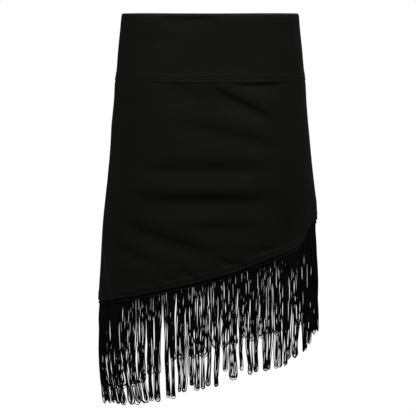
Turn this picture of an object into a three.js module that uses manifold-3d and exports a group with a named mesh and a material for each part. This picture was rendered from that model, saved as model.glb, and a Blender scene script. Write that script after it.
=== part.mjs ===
// A pull-on stretch skirt with a slanting hem and a looped cord fringe, in the hollow form it
// has when worn. Millimetres, +Z up, the front faces -Y, and the long side of the hem is at -X.
// The origin is the centre of the waist opening, level with its top edge.
import * as THREE from 'three';
import Module from 'manifold-3d';

const wasm = await Module();
wasm.setup();

// Cloth
const SEAM_GAP = 0.3;
const PANEL_THICK = 1.6;
const BAND_THICK = 2.6;
const BAND_DEEP = 103;
const FOLD_ROLL = 1.2;
const FOLD_ROLL_DEEP = 5;
const HEM_TURNED = 12;
const HEM_THICK = 2.4;
const BACK_HEM_LIFT = 8;

// Fringe: its header tape is sewn inside the hem, shows below the cloth's edge and leans out there
const TAPE_ABOVE_EDGE = 8;
const TAPE_BELOW_EDGE = 5;
const TAPE_THICK = 2.1;
const TAPE_LEAN = 1.8;
const TAPE_END_SHARE = 0.002;
const STRAND_RADIUS = 0.95;
const STRAND_SIDES = 3;
const STRAND_INSET = 1.5;
const LOOPS_PER_HALF = 58;
const ROOT_IN_TAPE = 2;
const LOOP_LEG_SHARE = 0.25;
const LOOP_TURN_DEEP = 3;
const LOOP_UNEVEN = 3;

// How round the skirt is: 2 is an ellipse, more is squarer
const ROUNDNESS = 2.25;

// Grid of each cloth piece
const COLUMNS = 26;
const PANEL_ROWS = 19;
const BAND_ROWS = [0, 1.5, FOLD_ROLL_DEEP, 30, 60, 86, 97, BAND_DEEP];

// How far the cloth, and the fringe below it, stands from the middle at depths below the waist's edge
const SECTIONS = [
  { down: 0, left: 136.3, right: 138.5, front: 96, back: 101 },
  { down: 24, left: 138.7, right: 140.4, front: 98, back: 104 },
  { down: 55, left: 141.8, right: 143.9, front: 101, back: 109 },
  { down: 86, left: 144.4, right: 146.7, front: 105, back: 114 },
  { down: 104, left: 146.8, right: 148.9, front: 107, back: 117 },
  { down: 133, left: 148.6, right: 150.7, front: 110, back: 121 },
  { down: 172, left: 152.6, right: 154.2, front: 113, back: 125 },
  { down: 211, left: 155.3, right: 158, front: 116, back: 127 },
  { down: 250, left: 159, right: 162, front: 118, back: 126 },
  { down: 300, left: 164.4, right: 168, front: 118, back: 125 },
  { down: 318, left: 166, right: 168.6, front: 118, back: 124.5 },
  { down: 336, left: 167.3, right: 167.8, front: 118, back: 124 },
  { down: 399, left: 171.8, right: 170.3, front: 118, back: 123 },
  { down: 447, left: 174.8, right: 171.3, front: 118, back: 123 },
  { down: 520, left: 174.6, right: 171.5, front: 118, back: 123 },
  { down: 560, left: 173.6, right: 171, front: 117, back: 122 },
  { down: 600, left: 168.5, right: 168.5, front: 115, back: 120 },
];

// The cloth's lower edge, from the left side seam (share 0) to the right one (share 1)
const HEM = [
  { share: 0, down: 446 },
  { share: 0.07, down: 443.5 },
  { share: 0.15, down: 438 },
  { share: 0.295, down: 423.5 },
  { share: 0.395, down: 411.5 },
  { share: 0.47, down: 403.5 },
  { share: 0.6, down: 386.5 },
  { share: 0.665, down: 375.5 },
  { share: 0.72, down: 367.5 },
  { share: 0.775, down: 360 },
  { share: 0.81, down: 354.5 },
  { share: 0.84, down: 347 },
  { share: 0.87, down: 336 },
  { share: 0.9, down: 326.5 },
  { share: 0.935, down: 320.5 },
  { share: 1, down: 319 },
];

// Soft troughs in the cloth. Share and down are the middle, and fall is how much lower the right end
// is. Each trough is steep above its middle, where the cloth tucks under, and slopes gently below it.
const CREASES = [
  { half: 'front', share: 0.62, down: 139, long: 96, fall: 40, above: 9, below: 16, deep: 3.2 },
  { half: 'front', share: 0.56, down: 182, long: 150, fall: 34, above: 10, below: 16, deep: 2.4 },
  { half: 'front', share: 0.495, down: 235, long: 176, fall: -4, above: 12, below: 18, deep: 2.8 },
  { half: 'front', share: 0.478, down: 281, long: 190, fall: 0, above: 10, below: 22, deep: 4.2 },
  { half: 'front', share: 0.545, down: 323, long: 96, fall: 0, above: 9, below: 14, deep: 2 },
  { half: 'front', share: 0.36, down: 342, long: 132, fall: 38, above: 9, below: 14, deep: 3 },
  { half: 'front', share: 0.225, down: 363, long: 84, fall: 22, above: 8, below: 14, deep: 2 },
  { half: 'back', share: 0.5, down: 262, long: 200, fall: 0, above: 11, below: 22, deep: 4 },
  { half: 'back', share: 0.4, down: 306, long: 130, fall: 18, above: 10, below: 16, deep: 2.8 },
  { half: 'back', share: 0.62, down: 150, long: 110, fall: -24, above: 10, below: 16, deep: 2.4 },
  { half: 'back', share: 0.52, down: 205, long: 150, fall: 10, above: 11, below: 16, deep: 2.2 },
];

// The locks that the loops hang in: where each starts on the tape, and where it ends and how low
const LOCKS = {
  front: [
    { from: 0, to: 0.085, footFrom: 0.015, footTo: 0.091, down: 604 },
    { from: 0.085, to: 0.145, footFrom: 0.098, footTo: 0.14, down: 602 },
    { from: 0.145, to: 0.205, footFrom: 0.15, footTo: 0.2, down: 599 },
    { from: 0.205, to: 0.3, footFrom: 0.208, footTo: 0.292, down: 593 },
    { from: 0.3, to: 0.347, footFrom: 0.296, footTo: 0.335, down: 587 },
    { from: 0.347, to: 0.392, footFrom: 0.359, footTo: 0.386, down: 582 },
    { from: 0.392, to: 0.43, footFrom: 0.394, footTo: 0.422, down: 572 },
    { from: 0.43, to: 0.472, footFrom: 0.436, footTo: 0.47, down: 566 },
    { from: 0.472, to: 0.512, footFrom: 0.475, footTo: 0.505, down: 565 },
    { from: 0.512, to: 0.542, footFrom: 0.516, footTo: 0.529, down: 562 },
    { from: 0.542, to: 0.562, footFrom: 0.545, footTo: 0.559, down: 540 },
    { from: 0.562, to: 0.615, footFrom: 0.562, footTo: 0.6, down: 552 },
    { from: 0.615, to: 0.67, footFrom: 0.628, footTo: 0.658, down: 543 },
    { from: 0.67, to: 0.715, footFrom: 0.678, footTo: 0.703, down: 540 },
    { from: 0.715, to: 0.775, footFrom: 0.724, footTo: 0.768, down: 535 },
    { from: 0.775, to: 0.83, footFrom: 0.774, footTo: 0.817, down: 525 },
    { from: 0.83, to: 0.885, footFrom: 0.84, footTo: 0.869, down: 516 },
    { from: 0.885, to: 0.925, footFrom: 0.871, footTo: 0.905, down: 501 },
    { from: 0.925, to: 1, footFrom: 0.915, footTo: 0.98, down: 487 },
  ],
  back: [
    { from: 0, to: 0.1, footFrom: 0.02, footTo: 0.11, down: 584 },
    { from: 0.1, to: 0.2, footFrom: 0.118, footTo: 0.198, down: 588 },
    { from: 0.2, to: 0.3, footFrom: 0.21, footTo: 0.295, down: 583 },
    { from: 0.3, to: 0.42, footFrom: 0.31, footTo: 0.41, down: 570 },
    { from: 0.42, to: 0.5, footFrom: 0.43, footTo: 0.5, down: 561 },
    { from: 0.5, to: 0.6, footFrom: 0.515, footTo: 0.6, down: 549 },
    { from: 0.6, to: 0.7, footFrom: 0.61, footTo: 0.69, down: 534 },
    { from: 0.7, to: 0.79, footFrom: 0.71, footTo: 0.785, down: 518 },
    { from: 0.79, to: 0.88, footFrom: 0.81, footTo: 0.887, down: 500 },
    { from: 0.88, to: 1, footFrom: 0.905, footTo: 0.98, down: 484 },
  ],
};

// A value read from a table's column, on a smooth curve through its rows
function readTable(table, key, at, column) {
  const last = table.length - 1;
  const clamped = Math.min(Math.max(at, table[0][key]), table[last][key]);
  let i = 0;
  while (i < last - 1 && table[i + 1][key] < clamped) i += 1;
  const slope = (j) => {
    const before = table[Math.max(j - 1, 0)];
    const after = table[Math.min(j + 1, last)];
    return (after[column] - before[column]) / (after[key] - before[key]);
  };
  const span = table[i + 1][key] - table[i][key];
  const t = (clamped - table[i][key]) / span;
  const start = table[i][column];
  const end = table[i + 1][column];
  const t2 = t * t;
  const t3 = t2 * t;
  return (2 * t3 - 3 * t2 + 1) * start + (t3 - 2 * t2 + t) * span * slope(i)
    + (3 * t2 - 2 * t3) * end + (t3 - t2) * span * slope(i + 1);
}

// The form's surface at a turn from the left side, with its outward direction
function formAt(half, turn, down) {
  const reach = (column) => readTable(SECTIONS, 'down', down, column);
  const side = reach(turn < Math.PI / 2 ? 'left' : 'right');
  const face = reach(half);
  const facing = half === 'front' ? -1 : 1;
  const cos = Math.cos(turn);
  const sin = Math.sin(turn);
  const sum = (Math.abs(cos) / side) ** ROUNDNESS + (sin / face) ** ROUNDNESS;
  const radius = sum ** (-1 / ROUNDNESS);
  const x = -cos * radius;
  const y = facing * sin * radius;
  const out = new THREE.Vector2(
    (Math.sign(x) * (Math.abs(x) / side) ** (ROUNDNESS - 1)) / side,
    (facing * (Math.abs(y) / face) ** (ROUNDNESS - 1)) / face,
  ).normalize();
  return { x, y, out };
}

// Turns at even steps of length along half of the hem
function evenTurns(half) {
  const steps = 360;
  const level = 400;
  const turns = [0];
  const lengths = [0];
  let before = formAt(half, 0, level);
  for (let i = 1; i <= steps; i += 1) {
    const turn = (Math.PI * i) / steps;
    const here = formAt(half, turn, level);
    turns.push(turn);
    lengths.push(lengths[i - 1] + Math.hypot(here.x - before.x, here.y - before.y));
    before = here;
  }
  return { turns, lengths, girth: lengths[steps] };
}

const ROUND = { front: evenTurns('front'), back: evenTurns('back') };

function turnAt(half, share) {
  const { turns, lengths, girth } = ROUND[half];
  const wanted = Math.min(Math.max(share, 0), 1) * girth;
  let i = 1;
  while (i < lengths.length - 1 && lengths[i] < wanted) i += 1;
  const part = (wanted - lengths[i - 1]) / (lengths[i] - lengths[i - 1]);
  return turns[i - 1] + (turns[i] - turns[i - 1]) * part;
}

function hemDown(half, share) {
  const lift = half === 'back' ? BACK_HEM_LIFT * Math.sin(Math.PI * share) : 0;
  return readTable(HEM, 'share', share, 'down') - lift;
}

function creaseDeep(half, share, down) {
  let deep = 0;
  for (const crease of CREASES) {
    if (crease.half !== half) continue;
    const along = ((share - crease.share) * ROUND[half].girth) / (crease.long / 2);
    const lower = down - crease.down - (crease.fall / 2) * along;
    const across = lower / (lower < 0 ? crease.above : crease.below);
    deep += crease.deep * Math.exp(-(along ** 4) - across ** 2);
  }
  return deep;
}

// A point of the cloth, inset from the form's surface
function clothPoint(half, share, down, inset) {
  const { x, y, out } = formAt(half, turnAt(half, share), down);
  return new THREE.Vector3(x - out.x * inset, y - out.y * inset, -down);
}

// A closed wall from a grid: outside(i, j) and inside(i, j) give its points, row i and column j
function wallSolid(rows, columns, outside, inside, facing) {
  const points = [];
  const faces = [];
  const wide = columns + 1;
  const layer = (rows + 1) * wide;
  for (const side of [outside, inside]) {
    for (let i = 0; i <= rows; i += 1) {
      for (let j = 0; j <= columns; j += 1) points.push(side(i, j));
    }
  }
  const at = (side, i, j) => side * layer + i * wide + j;
  const quad = (a, b, c, d) => {
    if (facing < 0) faces.push([a, b, c], [a, c, d]);
    else faces.push([a, c, b], [a, d, c]);
  };
  for (let i = 0; i < rows; i += 1) {
    for (let j = 0; j < columns; j += 1) {
      quad(at(0, i, j), at(0, i + 1, j), at(0, i + 1, j + 1), at(0, i, j + 1));
      quad(at(1, i, j), at(1, i, j + 1), at(1, i + 1, j + 1), at(1, i + 1, j));
    }
  }
  for (let j = 0; j < columns; j += 1) {
    quad(at(0, 0, j), at(0, 0, j + 1), at(1, 0, j + 1), at(1, 0, j));
    quad(at(0, rows, j), at(1, rows, j), at(1, rows, j + 1), at(0, rows, j + 1));
  }
  for (let i = 0; i < rows; i += 1) {
    quad(at(0, i, 0), at(1, i, 0), at(1, i + 1, 0), at(0, i + 1, 0));
    quad(at(0, i, columns), at(0, i + 1, columns), at(1, i + 1, columns), at(1, i, columns));
  }
  return { points, faces };
}

function toGeometry({ points, faces }) {
  const geometry = new THREE.BufferGeometry();
  geometry.setAttribute('position', new THREE.Float32BufferAttribute(points.flatMap((p) => p.toArray()), 3));
  geometry.setIndex(faces.flat());
  return geometry;
}

const facingOf = (half) => (half === 'front' ? -1 : 1);

// Columns stop short of the side seams by half the gap between the pieces
function columnShare(half, column) {
  const end = SEAM_GAP / 2 / ROUND[half].girth;
  return end + ((1 - 2 * end) * column) / COLUMNS;
}

function waistband(half) {
  const roll = (down) => FOLD_ROLL * Math.max(1 - down / FOLD_ROLL_DEEP, 0) ** 2;
  const outside = (i, j) => clothPoint(half, columnShare(half, j), BAND_ROWS[i], roll(BAND_ROWS[i]));
  const inside = (i, j) => clothPoint(half, columnShare(half, j), BAND_ROWS[i], BAND_THICK);
  return toGeometry(wallSolid(BAND_ROWS.length - 1, COLUMNS, outside, inside, facingOf(half)));
}

// Rows are even down to the turned hem, which has the last two
function panelDown(half, share, row) {
  const hem = hemDown(half, share);
  if (row === PANEL_ROWS) return hem;
  if (row === PANEL_ROWS - 1) return hem - HEM_TURNED;
  const top = BAND_DEEP + SEAM_GAP;
  const plainBottom = hem - HEM_TURNED - 2;
  return top + ((plainBottom - top) * row) / (PANEL_ROWS - 2);
}

function panel(half) {
  const place = (i, j, inset) => {
    const share = columnShare(half, j);
    const down = panelDown(half, share, i);
    return clothPoint(half, share, down, creaseDeep(half, share, down) + inset);
  };
  const inside = (i, j) => place(i, j, i >= PANEL_ROWS - 1 ? HEM_THICK : PANEL_THICK);
  return toGeometry(wallSolid(PANEL_ROWS, COLUMNS, (i, j) => place(i, j, 0), inside, facingOf(half)));
}

// A point below the hem, inset from the form as the creases at the hem leave it
function hangPoint(half, share, down, inset) {
  return clothPoint(half, share, down, creaseDeep(half, share, hemDown(half, share)) + inset);
}

const TAPE_OUTSIDE = HEM_THICK + SEAM_GAP;
const ROOT_INSET = TAPE_OUTSIDE + TAPE_THICK / 2 - TAPE_LEAN * (1 - ROOT_IN_TAPE / TAPE_BELOW_EDGE);

// The tape lies along the inside of the turned hem, then leans out below the edge
function tape(half) {
  const share = (j) => Math.min(Math.max(columnShare(half, j), TAPE_END_SHARE), 1 - TAPE_END_SHARE);
  const place = (inset) => (i, j) => {
    const hem = hemDown(half, share(j));
    if (i === 2) return hangPoint(half, share(j), hem + TAPE_BELOW_EDGE, inset - TAPE_LEAN);
    const down = i === 0 ? hem - TAPE_ABOVE_EDGE : hem;
    return clothPoint(half, share(j), down, creaseDeep(half, share(j), down) + inset);
  };
  return wallSolid(2, COLUMNS, place(TAPE_OUTSIDE), place(TAPE_OUTSIDE + TAPE_THICK), facingOf(half));
}

// One cord from the tape, down, round its loop and back up to the tape
function loop(half, rootShare, footShare, halfShare, footHalfShare, footDown) {
  const legs = [-1, 1].map((side) => {
    const root = rootShare + side * halfShare;
    const foot = footShare + side * footHalfShare;
    const top = hemDown(half, root) + TAPE_BELOW_EDGE - ROOT_IN_TAPE;
    return [0, 0.5, 1].map((part) => {
      const share = root + (foot - root) * part ** 1.4;
      const down = top + (footDown - LOOP_TURN_DEEP - top) * part;
      return hangPoint(half, share, down, part === 0 ? ROOT_INSET : STRAND_INSET);
    });
  });
  const turn = hangPoint(half, footShare, footDown, STRAND_INSET);
  const path = [...legs[0], turn, ...legs[1].reverse()];
  const { out } = formAt(half, turnAt(half, footShare), footDown);
  const outward = new THREE.Vector3(out.x, out.y, 0);
  const points = [];
  const faces = [];
  path.forEach((point, i) => {
    const before = path[Math.max(i - 1, 0)];
    const after = path[Math.min(i + 1, path.length - 1)];
    const along = after.clone().sub(before).normalize();
    const across = new THREE.Vector3().crossVectors(along, outward).normalize();
    for (let k = 0; k < STRAND_SIDES; k += 1) {
      const angle = (2 * Math.PI * k) / STRAND_SIDES;
      const corner = point.clone();
      corner.addScaledVector(outward, STRAND_RADIUS * Math.cos(angle));
      corner.addScaledVector(across, STRAND_RADIUS * Math.sin(angle));
      points.push(corner);
    }
  });
  for (let i = 0; i < path.length - 1; i += 1) {
    for (let k = 0; k < STRAND_SIDES; k += 1) {
      const a = i * STRAND_SIDES + k;
      const b = i * STRAND_SIDES + ((k + 1) % STRAND_SIDES);
      faces.push([a, b, b + STRAND_SIDES], [a, b + STRAND_SIDES, a + STRAND_SIDES]);
    }
  }
  const lastRing = (path.length - 1) * STRAND_SIDES;
  for (let k = 1; k < STRAND_SIDES - 1; k += 1) {
    faces.push([0, k + 1, k], [lastRing, lastRing + k, lastRing + k + 1]);
  }
  return { points, faces };
}

function loopsOf(half) {
  const loops = [];
  for (const lock of LOCKS[half]) {
    const count = Math.max(2, Math.round((lock.to - lock.from) * LOOPS_PER_HALF));
    const pitch = (lock.to - lock.from) / count;
    const footPitch = (lock.footTo - lock.footFrom) / count;
    for (let i = 0; i < count; i += 1) {
      const root = lock.from + pitch * (i + 0.5);
      const foot = lock.footFrom + footPitch * (i + 0.5);
      const slant = (hemDown(half, foot) - hemDown(half, (lock.from + lock.to) / 2)) * 0.5;
      const down = lock.down + slant + LOOP_UNEVEN * Math.sin(7 * loops.length);
      loops.push(loop(half, root, foot, pitch * LOOP_LEG_SHARE, footPitch * LOOP_LEG_SHARE, down));
    }
  }
  return loops;
}

function toSolid({ points, faces }) {
  const vertProperties = new Float32Array(points.flatMap((p) => p.toArray()));
  const triVerts = new Uint32Array(faces.flat());
  return new wasm.Manifold(new wasm.Mesh({ numProp: 3, vertProperties, triVerts }));
}

function fringe(half) {
  let solid = toSolid(tape(half));
  for (const cord of loopsOf(half)) solid = solid.add(toSolid(cord));
  const mesh = solid.getMesh();
  const geometry = new THREE.BufferGeometry();
  geometry.setAttribute('position', new THREE.BufferAttribute(mesh.vertProperties, mesh.numProp));
  geometry.setIndex(new THREE.BufferAttribute(mesh.triVerts, 1));
  return geometry;
}

const cloth = new THREE.MeshStandardMaterial({ color: 0x131312, roughness: 0.7, metalness: 0 });
const cord = new THREE.MeshStandardMaterial({ color: 0x0b0b0b, roughness: 0.6, metalness: 0 });

function piece(name, geometry, material) {
  geometry.computeVertexNormals();
  const mesh = new THREE.Mesh(geometry, material);
  mesh.name = name;
  return mesh;
}

const skirt = new THREE.Group();
for (const half of ['front', 'back']) {
  skirt.add(piece(`waistband_${half}`, waistband(half), cloth));
  skirt.add(piece(`panel_${half}`, panel(half), cloth));
  skirt.add(piece(`fringe_${half}`, fringe(half), cord));
}

export default skirt;
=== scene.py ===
# A pull-on skirt in black stretch cloth, cut long at one side, with a fringe of looped cords
import math
from collections import namedtuple

import bpy
import numpy as np
from mathutils import Matrix, noise


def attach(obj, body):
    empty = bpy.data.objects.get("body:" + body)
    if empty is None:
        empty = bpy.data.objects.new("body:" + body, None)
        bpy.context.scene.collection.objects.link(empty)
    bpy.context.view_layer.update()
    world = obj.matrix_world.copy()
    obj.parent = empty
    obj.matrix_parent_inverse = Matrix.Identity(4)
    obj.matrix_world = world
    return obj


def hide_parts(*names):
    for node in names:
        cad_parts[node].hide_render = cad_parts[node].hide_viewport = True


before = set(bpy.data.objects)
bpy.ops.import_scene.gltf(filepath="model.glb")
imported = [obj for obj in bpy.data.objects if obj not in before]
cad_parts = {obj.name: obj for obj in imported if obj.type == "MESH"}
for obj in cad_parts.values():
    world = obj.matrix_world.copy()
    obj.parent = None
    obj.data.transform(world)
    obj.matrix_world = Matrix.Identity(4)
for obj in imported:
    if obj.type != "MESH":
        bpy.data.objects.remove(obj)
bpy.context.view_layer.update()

MM = 0.001


# The camera
# It stands straight in front, a little above the waist's edge, and looks slightly down, as the
# photograph does: the back's edge shows as a line over the front's, and the back's fringe sits higher.
CAMERA_AWAY = 3.2
CAMERA_UP = 0.025
CAMERA_ASIDE = -0.0023
CAMERA_DOWN_DEGREES = 5.84
CAMERA_LENS = 177.9

camera_data = bpy.data.cameras.new("camera")
camera_data.lens = CAMERA_LENS
camera_data.clip_end = 100
camera = bpy.data.objects.new("camera", camera_data)
camera.location = (CAMERA_ASIDE, -CAMERA_AWAY, CAMERA_UP)
camera.rotation_euler = (math.radians(90 - CAMERA_DOWN_DEGREES), 0, 0)
bpy.context.scene.collection.objects.link(camera)
bpy.context.scene.camera = camera


# The waistband
# A wide band of double-knit stretch cloth, folded over at the top edge and sewn to the panels.
# The seam's allowance is pressed up inside it and held by three rows of topstitching.
BAND_DEEP = 103
BAND_THICK = 2.6
SEAM_GAP = 0.3
ROUNDNESS = 2.25
FOLD_ROLL = 1.2
FOLD_ROLL_DEEP = 5
WAIST_RISE = 0.9
WAIST_DIP = 0.7
WAIST_DIP_DEEP = 40
ALLOWANCE_DEEP = 14.8
ALLOWANCE_RISE = 0.45
SEAM_ROLL = 0.9
TOPSTITCH_ABOVE_SEAM = (5.3, 9, 12.8)
TOPSTITCH_LONG = 2.6
TOPSTITCH_STEP = 3.3
TOPSTITCH_FROM_SIDE = 2.0
TOPSTITCH_GROOVE_DEEP = 0.36
STITCH_GROOVE_WIDE = 0.8
THREAD_RADIUS = 0.26
STITCH_SINK = 0.35
SIDE_GROOVE_WIDE = 1.4
SIDE_GROOVE_DEEP = 0.7
SIDE_PUCKER_WIDE = 5
SIDE_PUCKER_DEEP = 0.22
INSIDE_FOLLOWS = 0.6
HALVES = ("front", "back")
COLUMNS = 190
CLOSER_AT_SEAMS = 0.4
HEM_LEVEL = 400

# The band's length as a share of the panels' at the hem, and the share that each half stops short of
# the side seam, so thin that no light shows through it
BAND_SHARE_OF_HEM = 0.86
SEAM_END = 0.00001

Section = namedtuple("Section", "down left right front back")
SECTIONS = [
    Section(0, 136.3, 138.5, 96, 101),
    Section(24, 138.7, 140.4, 98, 104),
    Section(55, 141.8, 143.9, 101, 109),
    Section(86, 144.4, 146.7, 105, 114),
    Section(104, 146.8, 148.9, 107, 117),
    Section(133, 148.6, 150.7, 110, 121),
    Section(172, 152.6, 154.2, 113, 125),
    Section(211, 155.3, 158, 116, 127),
    Section(250, 159, 162, 118, 126),
    Section(300, 164.4, 168, 118, 125),
    Section(318, 166, 168.6, 118, 124.5),
    Section(336, 167.3, 167.8, 118, 124),
    Section(399, 171.8, 170.3, 118, 123),
    Section(447, 174.8, 171.3, 118, 123),
    Section(520, 174.6, 171.5, 118, 123),
    Section(560, 173.6, 171, 117, 122),
    Section(600, 168.5, 168.5, 115, 120),
]


def smooth_read(rows, key, column, at):
    """A table's column, on a smooth curve through its rows"""
    known = np.array([getattr(row, key) for row in rows], float)
    values = np.array([getattr(row, column) for row in rows], float)
    slopes = np.empty_like(values)
    slopes[1:-1] = (values[2:] - values[:-2]) / (known[2:] - known[:-2])
    slopes[0] = (values[1] - values[0]) / (known[1] - known[0])
    slopes[-1] = (values[-1] - values[-2]) / (known[-1] - known[-2])
    at = np.clip(at, known[0], known[-1])
    i = np.clip(np.searchsorted(known, at, side="right") - 1, 0, len(known) - 2)
    span = known[i + 1] - known[i]
    t = (at - known[i]) / span
    start = (2 * t**3 - 3 * t**2 + 1) * values[i] + (t**3 - 2 * t**2 + t) * span * slopes[i]
    return start + (3 * t**2 - 2 * t**3) * values[i + 1] + (t**3 - t**2) * span * slopes[i + 1]


def form_at(half, turn, down):
    """The worn form's surface at a turn from the left side seam, and its outward direction"""
    left = smooth_read(SECTIONS, "down", "left", down)
    right = smooth_read(SECTIONS, "down", "right", down)
    side = np.where(np.asarray(turn) < math.pi / 2, left, right)
    face = smooth_read(SECTIONS, "down", half, down)
    facing = -1 if half == "front" else 1
    cos, sin = np.cos(turn), np.clip(np.sin(turn), 0, 1)
    radius = ((np.abs(cos) / side) ** ROUNDNESS + (sin / face) ** ROUNDNESS) ** (-1 / ROUNDNESS)
    x, y = -cos * radius, facing * sin * radius
    out_x = np.sign(x) * (np.abs(x) / side) ** (ROUNDNESS - 1) / side
    out_y = facing * (np.abs(y) / face) ** (ROUNDNESS - 1) / face
    length = np.hypot(out_x, out_y)
    return x, y, out_x / length, out_y / length


def even_turns(half, steps=720, level=HEM_LEVEL):
    """Turns round half of the form at the hem's level, with the length from the left side seam to each"""
    turns = np.linspace(0, math.pi, steps + 1)
    x, y, _, _ = form_at(half, turns, np.full(steps + 1, float(level)))
    lengths = np.concatenate([[0], np.cumsum(np.hypot(np.diff(x), np.diff(y)))])
    return turns, lengths


ROUND = {half: even_turns(half) for half in HALVES}
GIRTH = {half: ROUND[half][1][-1] for half in HALVES}


def cloth_point(half, share, down, inset):
    """Points inset from the form, share of the way round from the left side seam, in metres"""
    share, down, inset = np.broadcast_arrays(*(np.asarray(v, float) for v in (share, down, inset)))
    turns, lengths = ROUND[half]
    turn = np.interp(share * GIRTH[half], lengths, turns)
    x, y, out_x, out_y = form_at(half, turn, down)
    return np.stack([x - out_x * inset, y - out_y * inset, -down], -1) * MM


def unevenness(points, size, seed):
    """Smooth noise from -1 to 1 at points in metres, with lumps of that size"""
    flat = points.reshape(-1, 3) / (size * MM) + seed
    return np.array([noise.noise(p) for p in flat]).reshape(points.shape[:-1])


def new_piece(name, points, faces, material, lay):
    """A smooth mesh object; lay gives each point's place on the flat cloth, in metres"""
    mesh = bpy.data.meshes.new(name)
    mesh.from_pydata(points.reshape(-1, 3).tolist(), [], faces)
    mesh.shade_smooth()
    corner = np.empty(len(mesh.loops), np.int32)
    mesh.loops.foreach_get("vertex_index", corner)
    mesh.uv_layers.new(name="lay").data.foreach_set("uv", lay.reshape(-1, 2)[corner].ravel())
    mesh.materials.append(material)
    piece = bpy.data.objects.new(name, mesh)
    bpy.context.scene.collection.objects.link(piece)
    return piece


def quads(a, b, c, d):
    return np.stack([np.ravel(v) for v in (a, b, c, d)], -1)


def cloth_wall(name, half, outside, inside, lay, material):
    """A closed wall between two grids of points, rows down and columns round"""
    rows, columns = outside.shape[:2]
    index = np.arange(2 * rows * columns).reshape(2, rows, columns)
    out, back = index
    faces = np.concatenate([
        quads(out[:-1, :-1], out[1:, :-1], out[1:, 1:], out[:-1, 1:]),
        quads(back[:-1, :-1], back[:-1, 1:], back[1:, 1:], back[1:, :-1]),
        quads(out[0, :-1], out[0, 1:], back[0, 1:], back[0, :-1]),
        quads(out[-1, :-1], back[-1, :-1], back[-1, 1:], out[-1, 1:]),
        quads(out[:-1, 0], back[:-1, 0], back[1:, 0], out[1:, 0]),
        quads(out[:-1, -1], out[1:, -1], back[1:, -1], back[:-1, -1]),
    ])
    if half == "back":
        faces = faces[:, ::-1]
    return new_piece(name, np.stack([outside, inside]), faces.tolist(), material, np.stack([lay, lay]))


def tubes(name, paths, radius, sides, material):
    """Round tubes along lines with equal numbers of points, closed at their ends"""
    along = np.gradient(paths, axis=1)
    along /= np.linalg.norm(along, axis=2, keepdims=True)
    count, steps = paths.shape[:2]
    side = np.empty_like(paths)
    side[:, 0] = np.cross(along[:, 0], [0.3, 0.5, 0.1])
    for i in range(steps):
        before = side[:, max(i - 1, 0)]
        flat = before - along[:, i] * np.sum(before * along[:, i], axis=1, keepdims=True)
        side[:, i] = flat / np.linalg.norm(flat, axis=1, keepdims=True)
    other = np.cross(along, side)
    angle = 2 * np.pi * np.arange(sides) / sides
    ring = side[:, :, None] * np.cos(angle)[:, None] + other[:, :, None] * np.sin(angle)[:, None]
    thick = (np.zeros(steps) + radius) * MM
    points = paths[:, :, None] + ring * thick[:, None, None]
    index = np.arange(count * steps * sides).reshape(count, steps, sides)
    turned = np.roll(index, -1, axis=2)
    faces = quads(index[:, :-1], turned[:, :-1], turned[:, 1:], index[:, 1:]).tolist()
    faces += index[:, 0, ::-1].tolist() + index[:, -1].tolist()
    step = np.linalg.norm(np.diff(paths, axis=1), axis=2)
    length = np.concatenate([np.zeros((count, 1)), np.cumsum(step, axis=1)], axis=1)
    across = np.abs((np.arange(sides) / sides * 2 + 1) % 2 - 1) * np.pi * thick[:, None]
    lay = np.stack(np.broadcast_arrays(across[None], length[:, :, None]), -1)
    return new_piece(name, points, faces, material, lay)


def stitch_row(name, starts, ends, outward, material):
    """Short threads lying on the cloth from each start to each end, sunk at their ends"""
    steps = 5
    swell = np.sin(np.pi * np.linspace(0.12, 0.88, steps)) ** 0.5
    middle = starts[:, None] + (ends - starts)[:, None] * np.linspace(0, 1, steps)[:, None]
    middle = middle + outward[:, None] * ((swell - 1) * 2 * THREAD_RADIUS * MM)[:, None]
    return tubes(name, middle, THREAD_RADIUS * swell, 6, material)


def new_group(name, inputs, outputs):
    """An empty shader node group with named inputs and outputs"""
    group = bpy.data.node_groups.new(name, "ShaderNodeTree")
    for label, kind, value in inputs:
        socket = group.interface.new_socket(label, in_out="INPUT", socket_type=kind)
        socket.default_value = value
    for label, kind in outputs:
        group.interface.new_socket(label, in_out="OUTPUT", socket_type=kind)
    return group, group.nodes.new("NodeGroupInput"), group.nodes.new("NodeGroupOutput")


def math_node(tree, operation, *values):
    """A Math node whose inputs are numbers or the sockets that feed them"""
    node = tree.nodes.new("ShaderNodeMath")
    node.operation = operation
    for socket, value in zip(node.inputs, values):
        if isinstance(value, (int, float)):
            socket.default_value = value
        else:
            tree.links.new(value, socket)
    return node.outputs[0]


def knit_group():
    """The fine ribs and rows of a knit, as a height: Wale and Row are their widths in metres"""
    inputs = [("Wale", "NodeSocketFloat", 0.0009), ("Row", "NodeSocketFloat", 0.0007)]
    group, given, out = new_group("knit", inputs, [("Height", "NodeSocketFloat")])
    lay = group.nodes.new("ShaderNodeUVMap")
    lay.uv_map = "lay"
    parts = group.nodes.new("ShaderNodeSeparateXYZ")
    group.links.new(lay.outputs["UV"], parts.inputs[0])
    wale = math_node(group, "DIVIDE", parts.outputs["X"], given.outputs["Wale"])
    rib = math_node(group, "ABSOLUTE", math_node(group, "SINE", math_node(group, "MULTIPLY", wale, math.pi)))
    lean = math_node(group, "PINGPONG", wale, 0.5)
    row = math_node(group, "DIVIDE", parts.outputs["Y"], given.outputs["Row"])
    loops = math_node(group, "ADD", row, math_node(group, "MULTIPLY", lean, 1.4))
    loop = math_node(group, "SINE", math_node(group, "MULTIPLY", loops, 2 * math.pi))
    height = math_node(group, "ADD", rib, math_node(group, "MULTIPLY", loop, 0.25))
    group.links.new(height, out.inputs["Height"])
    return group


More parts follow.
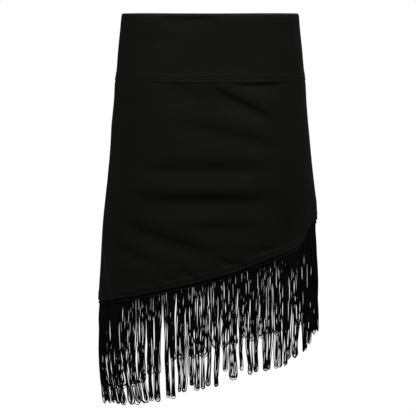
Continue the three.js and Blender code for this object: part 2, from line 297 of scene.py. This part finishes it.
def wear_group():
    """Small uneven fading, and specks of lint, over a dyed thread's own colour"""
    inputs = [
        ("Dye", "NodeSocketColor", (0.01, 0.01, 0.01, 1)),
        ("Fade", "NodeSocketFloat", 0.3),
        ("Lint", "NodeSocketFloat", 0.5),
    ]
    outputs = [("Color", "NodeSocketColor"), ("Unevenness", "NodeSocketFloat")]
    group, given, out = new_group("wear", inputs, outputs)
    place = group.nodes.new("ShaderNodeTexCoord")
    broad = group.nodes.new("ShaderNodeTexNoise")
    broad.inputs["Scale"].default_value = 14
    broad.inputs["Detail"].default_value = 5
    fine = group.nodes.new("ShaderNodeTexNoise")
    fine.inputs["Scale"].default_value = 420
    fine.inputs["Detail"].default_value = 2
    for texture in (broad, fine):
        group.links.new(place.outputs["Object"], texture.inputs["Vector"])
    fine_part = math_node(group, "MULTIPLY", fine.outputs["Fac"], 0.3)
    mixed = math_node(group, "MULTIPLY_ADD", broad.outputs["Fac"], 0.7, fine_part)
    centred = math_node(group, "SUBTRACT", mixed, 0.5)
    fade = math_node(group, "MULTIPLY", given.outputs["Fade"], 4)
    shade = math_node(group, "MULTIPLY_ADD", centred, fade, 1)
    dyed = group.nodes.new("ShaderNodeVectorMath")
    dyed.operation = "SCALE"
    group.links.new(given.outputs["Dye"], dyed.inputs[0])
    group.links.new(shade, dyed.inputs["Scale"])
    specks = group.nodes.new("ShaderNodeTexVoronoi")
    specks.inputs["Scale"].default_value = 160
    specks.inputs["Randomness"].default_value = 1
    group.links.new(place.outputs["Object"], specks.inputs["Vector"])
    near = math_node(group, "LESS_THAN", specks.outputs["Distance"], 0.045)
    patchy = math_node(group, "MULTIPLY", fine.outputs["Fac"], broad.outputs["Fac"])
    few = math_node(group, "GREATER_THAN", patchy, 0.33)
    scattered = math_node(group, "MULTIPLY", near, few)
    lint = math_node(group, "MULTIPLY", scattered, given.outputs["Lint"])
    blend = group.nodes.new("ShaderNodeMix")
    blend.data_type = "RGBA"
    group.links.new(lint, blend.inputs["Factor"])
    group.links.new(dyed.outputs[0], blend.inputs["A"])
    blend.inputs["B"].default_value = (0.05, 0.05, 0.048, 1)
    group.links.new(blend.outputs["Result"], out.inputs["Color"])
    group.links.new(mixed, out.inputs["Unevenness"])
    return group


knit = knit_group()
wear = wear_group()


def stretch_cloth(name, dye, roughness, wale, row, bump):
    """Dyed double-knit cloth, smooth and dull, with a soft sheen at its turned-away sides"""
    material = bpy.data.materials.new(name)
    material.use_nodes = True
    tree = material.node_tree
    shader = tree.nodes["Principled BSDF"]
    worn = tree.nodes.new("ShaderNodeGroup")
    worn.node_tree = wear
    worn.inputs["Dye"].default_value = (*dye, 1)
    worn.inputs["Fade"].default_value = 0.16
    worn.inputs["Lint"].default_value = 0.5
    tree.links.new(worn.outputs["Color"], shader.inputs["Base Color"])
    rough = math_node(tree, "MULTIPLY_ADD", worn.outputs["Unevenness"], 0.16, roughness - 0.08)
    tree.links.new(rough, shader.inputs["Roughness"])
    knitted = tree.nodes.new("ShaderNodeGroup")
    knitted.node_tree = knit
    knitted.inputs["Wale"].default_value = wale
    knitted.inputs["Row"].default_value = row
    relief = tree.nodes.new("ShaderNodeBump")
    relief.inputs["Strength"].default_value = bump
    relief.inputs["Distance"].default_value = 0.0002
    tree.links.new(knitted.outputs["Height"], relief.inputs["Height"])
    tree.links.new(relief.outputs["Normal"], shader.inputs["Normal"])
    shader.inputs["Specular IOR Level"].default_value = 0.08
    shader.inputs["Sheen Weight"].default_value = 0.012
    shader.inputs["Sheen Roughness"].default_value = 0.4
    return material


CLOTH_DYE = (0.0062, 0.0062, 0.0054)
cloth = stretch_cloth("stretch_cloth", CLOTH_DYE, 0.62, 0.0009, 0.0007, 0.5)
thread = stretch_cloth("sewing_thread", (0.008, 0.008, 0.0075), 0.55, 0.0004, 0.0004, 0.2)

# Rows of the band's grid, closer at the folded edge and over the topstitching
BAND_ROWS = np.concatenate([
    [0, 0.15, 0.5, 1.0, 1.7, 2.6, 4, 6, 8],
    np.arange(11, BAND_DEEP - 14, 3.0),
    np.arange(BAND_DEEP - 13, BAND_DEEP - 0.3, 0.45),
    [BAND_DEEP - 0.12, BAND_DEEP],
])

# Soft troughs: fall is how much lower the right end is; steep above the middle, gentle below it
Crease = namedtuple("Crease", "half share down long fall above below deep")
BAND_CREASES = [
    Crease("front", 0.415, 6.6, 100, 0, 2, 14, 1.3),
    Crease("front", 0.6, 83, 64, 4, 14, 20, 0.9),
    Crease("front", 0.45, 83, 56, 0, 14, 20, 0.9),
    Crease("front", 0.3, 40, 90, -8, 14, 18, 0.5),
    Crease("back", 0.44, 30, 130, 6, 12, 16, 1),
    Crease("back", 0.62, 70, 110, -12, 11, 14, 0.9),
]


def crease_deep(creases, half, share, down):
    """How deep the cloth's soft troughs are at a place"""
    deep = np.zeros(np.broadcast(share, down).shape)
    for crease in creases:
        if crease.half == half:
            along = (share - crease.share) * GIRTH[half] / (crease.long / 2)
            lower = down - crease.down - crease.fall / 2 * along
            across = lower / np.where(lower < 0, crease.above, crease.below)
            deep += crease.deep * np.exp(-(along**4) - across**2)
    return deep


def groove(distance, wide, deep):
    """A narrow groove that stitches pull into the cloth"""
    return deep * np.exp(-((distance / wide) ** 2))


def side_pucker(half, share, down):
    """The side seams' slight groove, with small puckers beside it"""
    from_seam = np.minimum(share, 1 - share) * GIRTH[half]
    waves = 1 + 0.5 * np.sin(down / 4.3) * np.sin(down / 11)
    puckers = groove(from_seam, SIDE_PUCKER_WIDE, SIDE_PUCKER_DEEP) * waves
    return groove(from_seam, SIDE_GROOVE_WIDE, SIDE_GROOVE_DEEP) + puckers


def shares_round(columns):
    """Shares from one side seam to the other, closer together at the seams, where the halves meet"""
    even = np.linspace(0, 1, columns + 1)
    closer = even - CLOSER_AT_SEAMS * np.sin(2 * np.pi * even) / (2 * np.pi)
    return np.clip(closer, SEAM_END, 1 - SEAM_END)[None, :]


def band_outside(half, share, down):
    """How far the band's face lies inside the worn form"""
    above_seam = BAND_DEEP - down
    deep = FOLD_ROLL * np.clip(1 - down / FOLD_ROLL_DEEP, 0, 1) ** 2
    deep = deep + crease_deep(BAND_CREASES, half, share, down) + side_pucker(half, share, down)
    allowance = 1 / (1 + np.exp((above_seam - ALLOWANCE_DEEP) / 0.5))
    deep = deep - ALLOWANCE_RISE * allowance
    for above in TOPSTITCH_ABOVE_SEAM:
        deep = deep + groove(above_seam - above, STITCH_GROOVE_WIDE, TOPSTITCH_GROOVE_DEEP)
    return deep + SEAM_ROLL * np.clip(1 - above_seam / SEAM_ROLL, 0, 1) ** 2


for half in HALVES:
    share, down = np.broadcast_arrays(shares_round(COLUMNS), BAND_ROWS[:, None])
    deep = band_outside(half, share, down)
    deep = deep + 0.25 * unevenness(cloth_point(half, share, down, 0), 45, 3.0)
    rounding = BAND_THICK / 2 * (1 - np.sqrt(1 - np.clip(1 - down / (BAND_THICK / 2), 0, 1) ** 2))
    dip = WAIST_DIP * np.sin(np.pi * share) ** 4 - WAIST_RISE
    level = down + dip * np.clip(1 - down / WAIST_DIP_DEEP, 0, 1)
    outside = cloth_point(half, share, level, deep + rounding)
    inside = cloth_point(half, share, level, np.maximum(deep, 0) * INSIDE_FOLLOWS + BAND_THICK - rounding)
    lay = np.stack([share * GIRTH[half], -down], -1) * MM
    band = cloth_wall(f"waistband_{half}_cloth", half, outside, inside, lay, cloth)
    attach(band, "root")
    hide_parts(f"waistband_{half}")
    cut_wide = GIRTH[half] * BAND_SHARE_OF_HEM
    for number, above in enumerate(TOPSTITCH_ABOVE_SEAM):
        starts = np.arange(TOPSTITCH_FROM_SIDE, cut_wide - TOPSTITCH_FROM_SIDE, TOPSTITCH_STEP) / cut_wide
        ends = starts + TOPSTITCH_LONG / cut_wide
        level = BAND_DEEP - above
        lift = band_outside(half, starts, np.full_like(starts, level)) - THREAD_RADIUS * (1 - STITCH_SINK)
        at = [cloth_point(half, s, level, lift) for s in (starts, ends)]
        outward = cloth_point(half, starts, level, lift - 1) - at[0]
        outward /= np.linalg.norm(outward, axis=1, keepdims=True)
        row = stitch_row(f"topstitch_{half}_{number + 1}", at[0], at[1], outward, thread)
        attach(row, "root")


# The panels
# The front and back are each one piece of the same cloth, without darts, sewn at the side seams.
# The lower edge slants up to one side, turned under and stitched through the fringe's tape.
PANEL_THICK = 1.6
HEM_TURNED = 12
HEM_THICK = 2.4
HEM_TURN_RISE = 0.3
HEM_EDGE_ROLL = 0.8
BACK_HEM_LIFT = 8
HEM_STITCH_ABOVE_EDGE = 4.6
HEM_STITCH_FROM_SIDE = 3.0
HEM_STITCH_GROOVE_DEEP = 0.5
PANEL_ROWS = 154

Hem = namedtuple("Hem", "share down")
HEM = [
    Hem(0, 446),
    Hem(0.07, 443.5),
    Hem(0.15, 438),
    Hem(0.295, 423.5),
    Hem(0.395, 411.5),
    Hem(0.47, 403.5),
    Hem(0.6, 386.5),
    Hem(0.665, 375.5),
    Hem(0.72, 367.5),
    Hem(0.775, 360),
    Hem(0.81, 354.5),
    Hem(0.84, 347),
    Hem(0.87, 336),
    Hem(0.9, 326.5),
    Hem(0.935, 320.5),
    Hem(1, 319),
]

PANEL_CREASES = [
    Crease("front", 0.62, 137, 92, 42, 8, 18, 3.2),
    Crease("front", 0.668, 106, 84, 1, 2.4, 12, 2.2),
    Crease("front", 0.485, 129.5, 118, 26, 17, 26, 2.9),
    Crease("front", 0.56, 182, 150, 34, 12, 20, 2.3),
    Crease("front", 0.495, 235, 176, -4, 13, 18, 3.4),
    Crease("front", 0.478, 281, 190, 0, 10, 22, 4.4),
    Crease("front", 0.545, 323, 96, 0, 9, 14, 2),
    Crease("front", 0.36, 342, 132, 38, 10, 16, 2.5),
    Crease("front", 0.225, 363, 84, 22, 8, 14, 2),
    Crease("front", 0.1, 410, 52, 72, 20, 24, 3),
    Crease("front", 0.576, 375, 42, 8, 4, 8, 1.5),
    Crease("front", 0.683, 355, 30, -3, 4, 7, 1.5),
    Crease("front", 0.433, 392, 24, 15, 4, 7, 1.3),
    Crease("front", 0.373, 401, 17, 7, 4, 5, 0.8),
    Crease("front", 0.865, 329, 76, -28, 32, 14, 5.4),
    Crease("front", 0.94, 306, 28, -40, 5, 5, -1.7),
    Crease("back", 0.5, 262, 200, 0, 11, 22, 4),
    Crease("back", 0.4, 306, 130, 18, 10, 16, 2.8),
    Crease("back", 0.62, 150, 110, -24, 10, 16, 2.4),
    Crease("back", 0.52, 205, 150, 10, 11, 16, 2.2),
    Crease("back", 0.3, 190, 70, 22, 9, 14, 1.2),
    Crease("back", 0.66, 338, 80, -26, 9, 13, 1.8),
]


def hem_down(half, share):
    """The cloth's lower edge; the back's rides up a little over the seat"""
    lift = BACK_HEM_LIFT * np.sin(np.pi * share) if half == "back" else 0
    return smooth_read(HEM, "share", "down", share) - lift


def panel_outside(half, share, down):
    """How far a panel's face lies inside the worn form"""
    above_hem = hem_down(half, share) - down
    below_seam = down - BAND_DEEP
    deep = crease_deep(PANEL_CREASES, half, share, down) + side_pucker(half, share, down)
    deep = deep + SEAM_ROLL * np.clip(1 - below_seam / 1.6, 0, 1) ** 2
    turned = 1 / (1 + np.exp((above_hem - HEM_TURNED) / 0.6))
    stitched = groove(above_hem - HEM_STITCH_ABOVE_EDGE, STITCH_GROOVE_WIDE, HEM_STITCH_GROOVE_DEEP)
    deep = deep - HEM_TURN_RISE * turned + stitched
    return deep + HEM_EDGE_ROLL * np.clip(1 - above_hem / 0.9, 0, 1) ** 2


panels = {}
for half in HALVES:
    share = shares_round(COLUMNS)
    top = BAND_DEEP + SEAM_GAP
    hem = hem_down(half, share)
    from_top = np.array([0, 0.3, 0.7, 1.2, 1.8, 2.6, 4, 6])[:, None]
    from_hem = np.concatenate([np.arange(14, 0.9, -0.6), [0.6, 0.3, 0.1, 0]])[:, None]
    middle = np.linspace(0, 1, PANEL_ROWS + 2)[1:-1, None]
    down = np.concatenate([
        top + from_top + 0 * share,
        top + from_top[-1] + (hem - from_hem[0] - top - from_top[-1]) * middle,
        hem - from_hem,
    ])
    share = np.broadcast_to(share, down.shape)
    deep = panel_outside(half, share, down)
    places = cloth_point(half, share, down, 0)
    deep = deep + 0.7 * unevenness(places, 70, 11.0) + 0.2 * unevenness(places, 24, 5.0)
    above_hem = hem_down(half, share) - down
    thick = PANEL_THICK + (HEM_THICK - PANEL_THICK) / (1 + np.exp((above_hem - HEM_TURNED) / 0.4))
    outside = cloth_point(half, share, down, deep)
    inside = cloth_point(half, share, down, deep + thick - 0.5 * np.clip(1 - above_hem / 0.6, 0, 1))
    lay = np.stack([share * GIRTH[half], -down], -1) * MM
    panel = cloth_wall(f"panel_{half}_cloth", half, outside, inside, lay, cloth)
    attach(panel, "root")
    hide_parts(f"panel_{half}")
    last_start = GIRTH[half] - HEM_STITCH_FROM_SIDE
    starts = np.arange(HEM_STITCH_FROM_SIDE, last_start, TOPSTITCH_STEP) / GIRTH[half]
    ends = starts + TOPSTITCH_LONG / GIRTH[half]
    at = []
    for s in (starts, ends):
        level = hem_down(half, s) - HEM_STITCH_ABOVE_EDGE
        lift = panel_outside(half, s, level) - THREAD_RADIUS * (1 - STITCH_SINK)
        at.append(cloth_point(half, s, level, lift))
    outward = cloth_point(half, starts, HEM_LEVEL, -1) - cloth_point(half, starts, HEM_LEVEL, 0)
    outward /= np.linalg.norm(outward, axis=1, keepdims=True)
    hem_stitches = stitch_row(f"hem_stitches_{half}", at[0], at[1], outward, thread)
    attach(hem_stitches, "root")
    panels[half] = (panel, hem_stitches)

# The side seams' allowances, pressed open inside, from the band's seam to the fringe's tape
ALLOWANCE_WIDE = 9
ALLOWANCE_THICK = 1.2
ALLOWANCE_CLEAR = 0.15
ALLOWANCE_WAVE = 0.25
for side, seam in (("left", 0), ("right", 1)):
    rows = np.linspace(0, 1, 90)[:, None]
    parts = []
    for half in HALVES:
        from_seam = np.linspace(0, ALLOWANCE_WIDE, 5)[None, :]
        share = np.abs(seam - np.maximum(from_seam, 0.01) / GIRTH[half])
        down = BAND_DEEP + 1 + (hem_down(half, share) - HEM_TURNED - 1 - BAND_DEEP) * rows
        share = np.broadcast_to(share, down.shape)
        face = panel_outside(half, share, down) + PANEL_THICK + ALLOWANCE_CLEAR
        uneven = ALLOWANCE_WAVE * np.sin(down / 9) * from_seam / ALLOWANCE_WIDE
        walls = [cloth_point(half, share, down, face + uneven + t) for t in (0, ALLOWANCE_THICK)]
        lay = np.stack([np.broadcast_to(from_seam, down.shape), -down], -1) * MM
        parts.append([v[:, ::-1] if (half == "front") == (seam == 0) else v for v in (*walls, lay)])
    first, second = parts if seam == 0 else parts[::-1]
    joined = [np.concatenate([a, b], axis=1) for a, b in zip(first, second)]
    strip = cloth_wall(f"side_allowance_{side}", "back", *joined, cloth)
    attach(strip, "root")


# The fringe's tape
# The cords of the fringe are caught at their heads by rows of chain stitch, which make a narrow
# ribbed tape. It is sewn inside the turned hem, and its lower part shows below the cloth's edge.
TAPE_ABOVE_EDGE = 8
TAPE_BELOW_EDGE = 5
TAPE_THICK = 2.1
TAPE_LEAN = 1.8
TAPE_OUTSIDE = HEM_THICK + SEAM_GAP
TAPE_RIB = 2.9
TAPE_RIB_HIGH = 0.35
TAPE_COLUMNS = 640
CHAIN_BELOW_EDGE = (1.2, 3.6)
CHAIN_WIDE = 0.5
CHAIN_DEEP = 0.3


def hang_point(half, share, down, inset):
    """Places on the form at or below the hem, for what hangs from it"""
    hem = hem_down(half, share)
    return cloth_point(half, share, down, crease_deep(PANEL_CREASES, half, share, hem) + inset)


def cord_yarn(name, dye, roughness):
    """Chain-knit cord: dull yarn with a chevron of stitches along it"""
    return stretch_cloth(name, dye, roughness, 0.00105, 0.0012, 0.9)


CORD_DYE = (0.0026, 0.0026, 0.0025)
cord = cord_yarn("fringe_cord", CORD_DYE, 0.6)

for half in HALVES:
    share = shares_round(TAPE_COLUMNS)
    offsets = np.array([-TAPE_ABOVE_EDGE, -4, 0, 0.8, 1.6, 2.4, 3.2, 4, 4.7, TAPE_BELOW_EDGE])[:, None]
    down = hem_down(half, share) + offsets
    share = np.broadcast_to(share, down.shape)
    shown = np.clip(offsets / 0.8, 0, 1)
    rib = shown * TAPE_RIB_HIGH * np.abs(np.sin(np.pi * share * GIRTH[half] / TAPE_RIB)) ** 0.6
    chain = shown * sum(groove(offsets - below, CHAIN_WIDE, CHAIN_DEEP) for below in CHAIN_BELOW_EDGE)
    lean = TAPE_LEAN * np.clip(offsets / TAPE_BELOW_EDGE, 0, 1) ** 0.8
    outside = hang_point(half, share, down, TAPE_OUTSIDE + chain - rib - lean)
    inside = hang_point(half, share, down, TAPE_OUTSIDE + TAPE_THICK - lean)
    on_cloth = down <= hem_down(half, share)
    deep = crease_deep(PANEL_CREASES, half, share, down)
    outside[on_cloth] = cloth_point(half, share, down, deep + TAPE_OUTSIDE)[on_cloth]
    inside[on_cloth] = cloth_point(half, share, down, deep + TAPE_OUTSIDE + TAPE_THICK)[on_cloth]
    lay = np.stack([share * GIRTH[half], -down], -1) * MM
    tape = cloth_wall(f"fringe_tape_{half}", half, outside, inside, lay, cord)
    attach(tape, "root")
    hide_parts(f"fringe_{half}")


# The fringe
# Each chain-knit cord leaves the tape, hangs about 160 mm, turns in a small loop and goes back up.
# The cords cling in uneven locks, so some loops twist or cross, and wedges of light show between.
CORD_RADIUS = 0.66
CORD_SIDES = 6
LEG_STEPS = 32
TURN_STEPS = 7
LOOPS = {"front": 196, "back": 146}
LOOPS_IN_BUNCH = 5
SWAYS_FROM = 0.16
ROOT_BELOW_EDGE = 2.2
ROOT_INSET = TAPE_OUTSIDE + TAPE_THICK / 2 - TAPE_LEAN * ROOT_BELOW_EDGE / TAPE_BELOW_EDGE
CORD_INSET = 2

# Where each lock starts on the tape, where its foot lies, how low, how late it parts from the next,
# and how full it is of loops
Lock = namedtuple("Lock", "start end foot_start foot_end down late full", defaults=[1])
LOCKS = {
    "front": [
        Lock(0, 0.075, 0.004, 0.093, 606, 2, 0.5),
        Lock(0.075, 0.13, 0.095, 0.143, 603, 2),
        Lock(0.13, 0.187, 0.146, 0.202, 602, 2),
        Lock(0.187, 0.224, 0.204, 0.238, 597, 2),
        Lock(0.224, 0.286, 0.239, 0.295, 595, 2),
        Lock(0.286, 0.345, 0.296, 0.336, 589, 1.3),
        Lock(0.345, 0.392, 0.358, 0.388, 583, 1.3, 1.3),
        Lock(0.392, 0.412, 0.393, 0.408, 573, 5),
        Lock(0.412, 0.43, 0.409, 0.424, 572, 5),
        Lock(0.43, 0.45, 0.435, 0.448, 565, 4),
        Lock(0.45, 0.473, 0.45, 0.472, 569, 4),
        Lock(0.473, 0.488, 0.474, 0.488, 568, 2),
        Lock(0.488, 0.512, 0.488, 0.507, 564, 2),
        Lock(0.512, 0.542, 0.516, 0.53, 563, 2),
        Lock(0.542, 0.562, 0.544, 0.56, 540, 2),
        Lock(0.562, 0.596, 0.561, 0.595, 554, 2),
        Lock(0.596, 0.615, 0.595, 0.608, 539, 3),
        Lock(0.615, 0.67, 0.627, 0.66, 544, 3, 1.15),
        Lock(0.67, 0.715, 0.677, 0.705, 541, 3, 1.15),
        Lock(0.715, 0.775, 0.723, 0.767, 537, 3.5, 1.1),
        Lock(0.775, 0.795, 0.768, 0.786, 528, 3),
        Lock(0.795, 0.83, 0.787, 0.819, 525, 3),
        Lock(0.83, 0.885, 0.839, 0.871, 517, 5, 0.85),
        Lock(0.885, 0.925, 0.871, 0.907, 508, 4, 0.75),
        Lock(0.925, 1, 0.911, 0.987, 496, 2, 0.7),
    ],
    "back": [
        Lock(0, 0.1, 0.018, 0.112, 600, 3, 0.6),
        Lock(0.1, 0.2, 0.114, 0.2, 602, 3, 0.8),
        Lock(0.2, 0.28, 0.203, 0.274, 600, 3, 0.9),
        Lock(0.28, 0.345, 0.277, 0.33, 585, 1.3),
        Lock(0.345, 0.42, 0.363, 0.422, 565, 1.3),
        Lock(0.42, 0.5, 0.425, 0.503, 561, 3),
        Lock(0.5, 0.6, 0.513, 0.602, 545, 3),
        Lock(0.6, 0.7, 0.608, 0.695, 529, 3),
        Lock(0.7, 0.79, 0.702, 0.788, 518, 3),
        Lock(0.79, 0.88, 0.806, 0.889, 500, 3),
        Lock(0.88, 1, 0.902, 0.987, 484, 2, 0.8),
    ],
}


def loop_facts(half, chance):
    """For each loop: its root, its foot's middle, how low and wide the foot is, its lateness, its bunch"""
    facts, number = [], 0
    for lock in LOCKS[half]:
        count = max(1, round((lock.end - lock.start) * LOOPS[half] * lock.full))
        bunches = max(1, round(count / LOOPS_IN_BUNCH))
        for bunch in range(bunches):
            first, last = bunch * count // bunches, (bunch + 1) * count // bunches
            members = last - first
            wide = (lock.foot_end - lock.foot_start) * members / count
            middle = lock.foot_start + (lock.foot_end - lock.foot_start) * (first + last) / 2 / count
            slant = 0.5 * (hem_down(half, middle) - hem_down(half, (lock.start + lock.end) / 2))
            off_middle = (first + last) / count - 1
            low = lock.down + slant - 2.5 * off_middle**2 + chance.uniform(-2, 1)
            for rank, i in zip(chance.permutation(members), range(first, last)):
                root = lock.start + (lock.end - lock.start) * (i + 0.5) / count
                foot_wide = max(1, wide * GIRTH[half] / 2 * (rank + 0.7) / members * chance.uniform(0.85, 1))
                foot = middle + chance.uniform(-0.1, 0.1) * wide
                higher = 1.1 * (members - 1 - rank) + chance.uniform(-1, 2.5)
                facts.append((root, foot, low - higher, foot_wide, lock.late, number))
            number += 1
    return np.array(facts).T


def cord_paths(half, chance):
    """The line of every cord, from the tape down its first leg, round the loop and back up"""
    root, foot, foot_down, foot_wide, late, bunch = (v[:, None] for v in loop_facts(half, chance))
    loops, bunch = len(root), bunch[:, 0].astype(int)
    part = np.linspace(0, 1, LEG_STEPS)[None, :]
    girth = GIRTH[half]
    root_wide = girth / LOOPS[half] / 4 * chance.uniform(0.8, 1.2, (loops, 1))
    belly = chance.uniform(-0.35, 0.35, (loops, 1))
    twist = chance.choice([0, 0, 0, 0.1, 0.3, 1], (loops, 1)) * np.pi * chance.choice([-1, 1], (loops, 1))
    layer = chance.uniform(-1.3, 1.3, (loops, 1))
    half_wide = root_wide + (foot_wide - root_wide) * part**2 + belly * np.sin(np.pi * part)
    angle = np.where(foot_wide < 3, twist, 0.1 * twist) * part**1.3
    phase = chance.uniform(0, 2 * np.pi, (loops, 4))
    together = chance.uniform(0, 2 * np.pi, (loops, 2))[bunch]
    size = chance.uniform(0.3, 1.4, (loops, 2))[bunch]
    envelope = np.sin(np.pi / 2 * np.clip(part / SWAYS_FROM, 0, 1))
    sway = envelope * (
        size[:, :1] * np.sin(2 * np.pi * 0.9 * part + together[:, :1])
        + 0.35 * size[:, 1:] * np.sin(2 * np.pi * 2.7 * part + together[:, 1:])
        + 0.3 * np.sin(2 * np.pi * 1.7 * part + phase[:, :1])
    )
    depth = layer + envelope * 0.9 * np.sin(2 * np.pi * 1.4 * part + phase[:, 2:3])
    inset = CORD_INSET + (ROOT_INSET - CORD_INSET) * np.clip(1 - part / 0.15, 0, 1) + depth * part**0.5
    legs = []
    for side in (-1, 1):
        own = envelope * 0.3 * np.sin(2 * np.pi * 2.3 * part + phase[:, 3:4] * side)
        sideways = side * half_wide * np.cos(angle) + sway + own
        share = root + (foot - root) * part**late + sideways / girth
        start = hem_down(half, root + side * root_wide / girth) + ROOT_BELOW_EDGE
        down = start + (foot_down - foot_wide - start) * part
        legs.append(hang_point(half, share, down, inset + side * half_wide * np.sin(angle)))
    first, second = legs[0], legs[1][:, ::-1]
    centre = (first[:, -1:] + second[:, :1]) / 2
    arm = first[:, -1:] - centre
    bend = np.linspace(0, np.pi, TURN_STEPS + 2)[None, 1:-1, None]
    drop = np.linalg.norm(arm, axis=2, keepdims=True) * np.array([0, 0, -1.25])
    turn = centre + arm * np.cos(bend) + drop * np.sin(bend)
    return np.concatenate([first, turn, second], axis=1)


for half, seed in (("front", 7), ("back", 19)):
    chance = np.random.RandomState(seed)
    cords = tubes(f"fringe_cords_{half}", cord_paths(half, chance), CORD_RADIUS, CORD_SIDES, cord)
    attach(cords, "root")
    panel, hem_stitches = panels[half]
    hem_reach = hem_down(half, np.linspace(0, 1, 401)) - BAND_DEEP


# The studio
# A plain white floor far below the hanging skirt, and soft light from large white cloths.
FLOOR_DOWN = 0.95
FLOOR_WIDE = 60
FLOOR_GREY = 0.2
SKY_GLOW = 0.03


def white_floor():
    """Seen as white by the camera, and lit as a grey floor that sends little light back up"""
    material = bpy.data.materials.new("white_floor")
    material.use_nodes = True
    tree = material.node_tree
    shader = tree.nodes["Principled BSDF"]
    shader.inputs["Base Color"].default_value = (FLOOR_GREY, FLOOR_GREY, FLOOR_GREY, 1)
    shader.inputs["Roughness"].default_value = 0.9
    glow = tree.nodes.new("ShaderNodeEmission")
    seen = tree.nodes.new("ShaderNodeLightPath")
    blend = tree.nodes.new("ShaderNodeMixShader")
    tree.links.new(seen.outputs["Is Camera Ray"], blend.inputs["Fac"])
    tree.links.new(shader.outputs["BSDF"], blend.inputs[1])
    tree.links.new(glow.outputs["Emission"], blend.inputs[2])
    tree.links.new(blend.outputs["Shader"], tree.nodes["Material Output"].inputs["Surface"])
    return material


bpy.ops.mesh.primitive_plane_add(size=FLOOR_WIDE, location=(0, 0, -FLOOR_DOWN))
floor = bpy.context.object
floor.name = "floor"
floor.data.materials.append(white_floor())

world = bpy.data.worlds.new("studio")
bpy.context.scene.world = world
world.use_nodes = True
world_tree = world.node_tree
sky = world_tree.nodes["Background"]
sky.inputs["Color"].default_value = (1, 1, 1, 1)
seen = world_tree.nodes.new("ShaderNodeLightPath")
strength = math_node(world_tree, "MULTIPLY_ADD", seen.outputs["Is Camera Ray"], 1 - SKY_GLOW, SKY_GLOW)
world_tree.links.new(strength, sky.inputs["Strength"])


def soft_light(name, location, target, size, power):
    """A rectangular light turned to face the target"""
    data = bpy.data.lights.new(name, "AREA")
    data.shape = "RECTANGLE"
    data.size, data.size_y = size
    data.energy = power
    light = bpy.data.objects.new(name, data)
    direction = np.array(target) - np.array(location)
    yaw = math.atan2(direction[1], direction[0]) - math.pi / 2
    pitch = math.atan2(direction[2], math.hypot(direction[0], direction[1]))
    placed = Matrix.Translation(location) @ Matrix.Rotation(yaw, 4, "Z")
    light.matrix_world = placed @ Matrix.Rotation(pitch + math.pi / 2, 4, "X")
    bpy.context.scene.collection.objects.link(light)


SKIRT_MIDDLE = (0, 0, -0.25)
soft_light("key_left", (-1.45, -0.95, 1.9), SKIRT_MIDDLE, (0.9, 0.6), 49)
soft_light("key_right", (1.5, -0.95, 1.9), SKIRT_MIDDLE, (0.9, 0.6), 46)
soft_light("fill", (0.2, -2.8, 0.6), SKIRT_MIDDLE, (1.0, 1.0), 8)
soft_light("rim_right", (2.1, 1.1, 0.7), SKIRT_MIDDLE, (0.8, 1.2), 1.5)
soft_light("behind", (0.4, 2.0, 1.7), SKIRT_MIDDLE, (1.6, 0.8), 44)

bpy.context.scene.view_settings.view_transform = "Standard"
